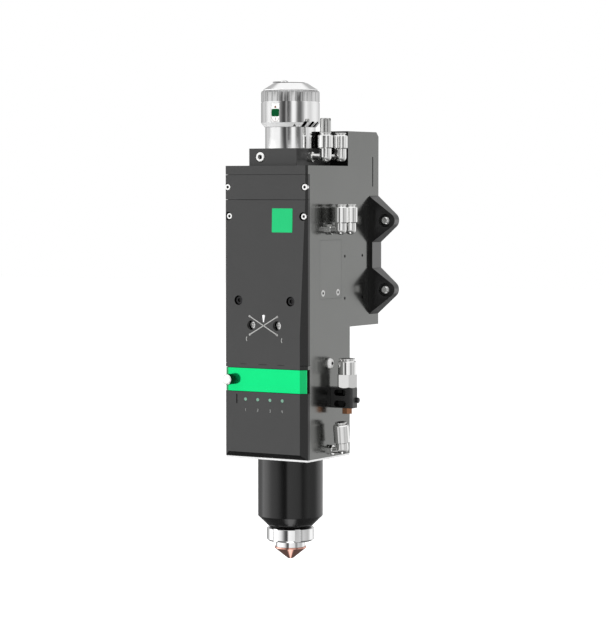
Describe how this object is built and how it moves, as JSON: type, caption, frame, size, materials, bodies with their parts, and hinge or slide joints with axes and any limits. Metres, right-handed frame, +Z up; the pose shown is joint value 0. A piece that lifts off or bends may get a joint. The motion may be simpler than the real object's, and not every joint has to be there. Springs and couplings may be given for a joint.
{
  "type": "laser cutting head",
  "caption": "Fibre-laser cutting head: tall housing with leaning front cover, window drawer, side gas and water fittings, eared mounting plate, sensor body and copper nozzle.",
  "frame": {"origin": "middle of the four mounting studs, on the rear mounting face", "axes": "+Z up, from the nozzle to the fibre socket; -Y the front with the covers; +X the side with the fittings"},
  "size_m": [0.1284, 0.1398, 0.4208],
  "materials": {
    "grey_anodised": "satin dark grey anodised",
    "side_grey": "smooth dark grey anodised",
    "black_anodised": "satin black anodised",
    "green_anodised": "satin green anodised",
    "chrome": "polished",
    "bright_steel": "bright",
    "black_steel": "black oxide",
    "plain_aluminium": "clear anodised",
    "copper": "turned copper",
    "brass": "turned brass",
    "ceramic": "glazed ceramic",
    "glass": "polished",
    "rubber": "matte",
    "light_pin": "clear pale green",
    "circuit_board": "lacquered",
    "motor_black": "black, laminated"
  },
  "bodies": {
    "head": {"main_housing": "side_grey", "upper_front_cover": "grey_anodised", "main_front_cover": "grey_anodised", "lower_front_cover": "grey_anodised", "cover_screws": "bright_steel", "black_cover_screws": "black_steel", "indicator_lights": "light_pin", "indicator_board": "circuit_board", "side_service_cover": "side_grey", "side_cover_screws": "bright_steel", "side_button_screw": "bright_steel", "guide_rods": "bright_steel", "focus_motor": "motor_black", "screw_bearing": "bright_steel", "control_connector": "chrome", "mounting_plate": "black_anodised", "plate_screws": "black_steel", "mounting_studs": "bright_steel", "base_plate": "plain_aluminium", "sensor_body": "black_anodised", "lock_nut": "chrome", "ceramic_body": "ceramic", "nozzle": "copper", "top_block": "grey_anodised", "clamp_screw": "bright_steel", "fibre_socket_body": "chrome", "gas_block": "black_anodised", "gas_block_screw": "black_steel", "gas_fitting": "chrome", "gas_plug": "brass"},
    "window_drawer": {"drawer_front": "green_anodised", "window_tray": "plain_aluminium", "protective_window": "glass", "window_seal": "rubber"},
    "thumb_screw": {"thumb_screw": "chrome"},
    "adjuster_left": {"adjuster_left": "bright_steel"},
    "adjuster_right": {"adjuster_right": "bright_steel"},
    "centring_slide": {"centring_frame": "plain_aluminium"},
    "focus_cell": {"focus_lens_cell": "plain_aluminium", "focusing_lens": "glass", "focus_lens_ring": "black_anodised"},
    "lead_screw": {"lead_screw": "bright_steel"},
    "collimator": {"collimator_carriage": "plain_aluminium", "collimating_lens": "glass", "collimator_ring": "black_anodised", "lead_nut": "brass"},
    "lock_ring": {"lock_ring": "chrome"},
    "dust_cap": {"dust_cap": "plain_aluminium"},
    "gas_fitting_collet": {"gas_fitting_collet": "chrome"},
    "notch_elbow_front": {"notch_elbow_front": "chrome", "port_plug": "chrome"},
    "notch_elbow_front_collet": {"notch_elbow_front_collet": "chrome"},
    "notch_elbow_rear": {"notch_elbow_rear": "chrome"},
    "notch_elbow_rear_collet": {"notch_elbow_rear_collet": "chrome"},
    "side_elbow_front": {"side_elbow_front": "chrome"},
    "side_elbow_front_collet": {"side_elbow_front_collet": "chrome"},
    "side_elbow_rear": {"side_elbow_rear": "chrome"},
    "side_elbow_rear_collet": {"side_elbow_rear_collet": "chrome"},
    "low_elbow": {"low_elbow": "chrome"},
    "low_elbow_collet": {"low_elbow_collet": "chrome"}
  },
  "joints": [
    {"name": "window_drawer_slide", "type": "slide", "parent": "head", "child": "window_drawer", "axis": [0, -1, 0], "range_m": [0, 0.075]},
    {"name": "thumb_screw_turn", "type": "hinge", "parent": "window_drawer", "child": "thumb_screw", "pos_m": [-0.0333, -0.1188, -0.10655], "axis": [0, -1, 0], "range_deg": [0, 1440]},
    {"name": "adjuster_left_turn", "type": "hinge", "parent": "head", "child": "adjuster_left", "pos_m": [-0.0131, -0.1188, -0.059], "axis": [0, -1, 0], "range_deg": [-362, 362]},
    {"name": "adjuster_right_turn", "type": "hinge", "parent": "head", "child": "adjuster_right", "pos_m": [0.0131, -0.1188, -0.059], "axis": [0, -1, 0], "range_deg": [-362, 362]},
    {"name": "centring_slide_move", "type": "slide", "parent": "head", "child": "centring_slide", "axis": [0.7071, 0.7071, 0], "range_m": [-0.0005, 0.0005]},
    {"name": "focus_cell_move", "type": "slide", "parent": "centring_slide", "child": "focus_cell", "axis": [-0.7071, 0.7071, 0], "range_m": [-0.0005, 0.0005]},
    {"name": "lead_screw_turn", "type": "hinge", "parent": "head", "child": "lead_screw", "pos_m": [0, -0.0514, -0.005], "axis": [0, 0, 1], "range_deg": [-1805, 1805]},
    {"name": "collimator_travel", "type": "slide", "parent": "head", "child": "collimator", "axis": [0, 0, 1], "range_m": [-0.01, 0.01]},
    {"name": "lock_ring_turn", "type": "hinge", "parent": "head", "child": "lock_ring", "pos_m": [0, -0.0824, 0.128], "axis": [0, 0, 1], "range_deg": [0, 50]},
    {"name": "dust_cap_lift", "type": "slide", "parent": "head", "child": "dust_cap", "axis": [0, 0, 1], "range_m": [0, 0.03]},
    {"name": "gas_fitting_collet_press", "type": "slide", "parent": "head", "child": "gas_fitting_collet", "axis": [0, 0, -1], "range_m": [0, 0.0012], "stiffness_N_per_m": 400},
    {"name": "notch_elbow_front_swivel", "type": "hinge", "parent": "head", "child": "notch_elbow_front", "pos_m": [0.0397, -0.0889, 0.0866], "axis": [1, 0, 0], "range_deg": [0, 90]},
    {"name": "notch_elbow_front_collet_press", "type": "slide", "parent": "notch_elbow_front", "child": "notch_elbow_front_collet", "axis": [0, 0, -1], "range_m": [0, 0.0012], "stiffness_N_per_m": 400},
    {"name": "notch_elbow_rear_swivel", "type": "hinge", "parent": "head", "child": "notch_elbow_rear", "pos_m": [0.0397, -0.0634, 0.0866], "axis": [1, 0, 0], "range_deg": [-5, 30]},
    {"name": "notch_elbow_rear_collet_press", "type": "slide", "parent": "notch_elbow_rear", "child": "notch_elbow_rear_collet", "axis": [0, 0, -1], "range_m": [0, 0.0012], "stiffness_N_per_m": 400},
    {"name": "side_elbow_front_swivel", "type": "hinge", "parent": "head", "child": "side_elbow_front", "pos_m": [0.0537, -0.0865, 0.0238], "axis": [1, 0, 0], "range_deg": [0, 180]},
    {"name": "side_elbow_front_collet_press", "type": "slide", "parent": "side_elbow_front", "child": "side_elbow_front_collet", "axis": [0, 0, -1], "range_m": [0, 0.0012], "stiffness_N_per_m": 400},
    {"name": "side_elbow_rear_swivel", "type": "hinge", "parent": "head", "child": "side_elbow_rear", "pos_m": [0.0537, -0.07, 0.0238], "axis": [1, 0, 0], "range_deg": [-180, 0]},
    {"name": "side_elbow_rear_collet_press", "type": "slide", "parent": "side_elbow_rear", "child": "side_elbow_rear_collet", "axis": [0, 0, -1], "range_m": [0, 0.0012], "stiffness_N_per_m": 400},
    {"name": "low_elbow_swivel", "type": "hinge", "parent": "head", "child": "low_elbow", "pos_m": [0.0543, -0.0844, -0.1682], "axis": [1, 0, 0], "continuous": true},
    {"name": "low_elbow_collet_press", "type": "slide", "parent": "low_elbow", "child": "low_elbow_collet", "axis": [0, 0.1219, -0.9925], "range_m": [0, 0.0012], "stiffness_N_per_m": 400}
  ],
  "couplings": [
    {"joint": "adjuster_left_turn", "follows": "centring_slide_move", "rad_per_m": 12566},
    {"joint": "adjuster_right_turn", "follows": "focus_cell_move", "rad_per_m": 12566},
    {"joint": "lead_screw_turn", "follows": "collimator_travel", "rad_per_m": 3141.6}
  ]
}
